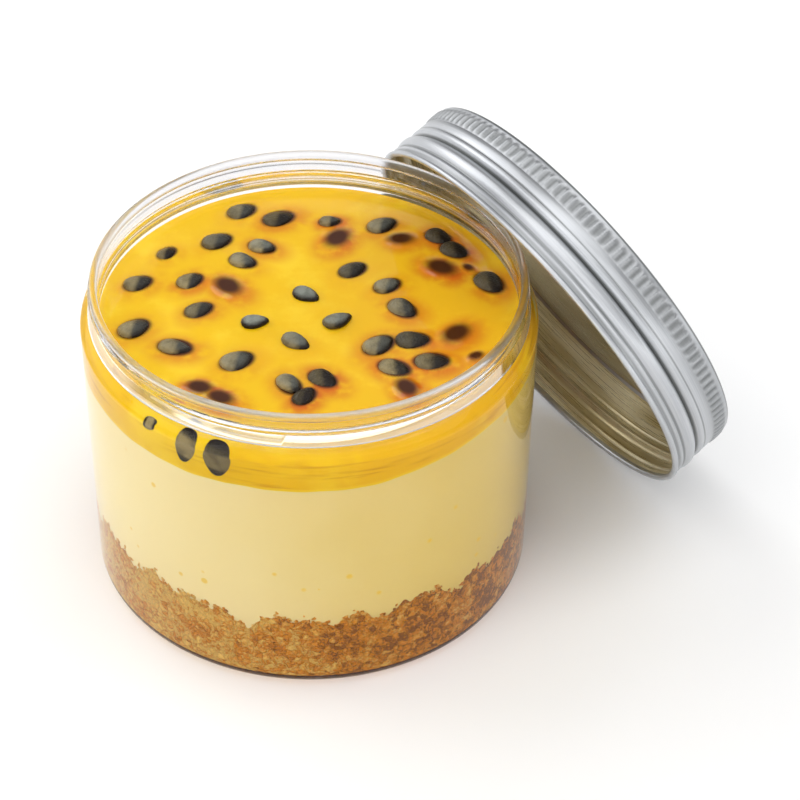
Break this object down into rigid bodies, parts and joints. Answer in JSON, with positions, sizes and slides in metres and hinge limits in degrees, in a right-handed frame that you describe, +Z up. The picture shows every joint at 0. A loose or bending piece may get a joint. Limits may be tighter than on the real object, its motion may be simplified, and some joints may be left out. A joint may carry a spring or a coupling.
{
  "type": "passion fruit cheesecake",
  "caption": "Layered passion fruit cheesecake in a clear wide-mouthed jar: crumb base, pale cream and seeded golden jelly, with the jar's metal screw lid leaning on its lip.",
  "frame": {"origin": "middle of the jar's flat foot, on the table", "axes": "+Z up along the jar's axis, +X to the right seen from the front; the lid leans behind and to the right, on the +X +Y side"},
  "size_m": [0.1325, 0.1148, 0.0888],
  "materials": {
    "clear_plastic": "clear and glossy",
    "biscuit_crumb": "coarse golden crumb, slightly buttery",
    "cheesecake_cream": "smooth pale yellow cream, satin",
    "fruit_jelly": "glossy golden jelly with dark seeds",
    "bare_aluminium": "rolled bare sheet, satin"
  },
  "bodies": {
    "root": {"jar": "clear_plastic", "biscuit_base": "biscuit_crumb", "cream_layer": "cheesecake_cream", "passion_fruit_jelly": "fruit_jelly", "lid": "bare_aluminium"}
  },
  "joints": []
}
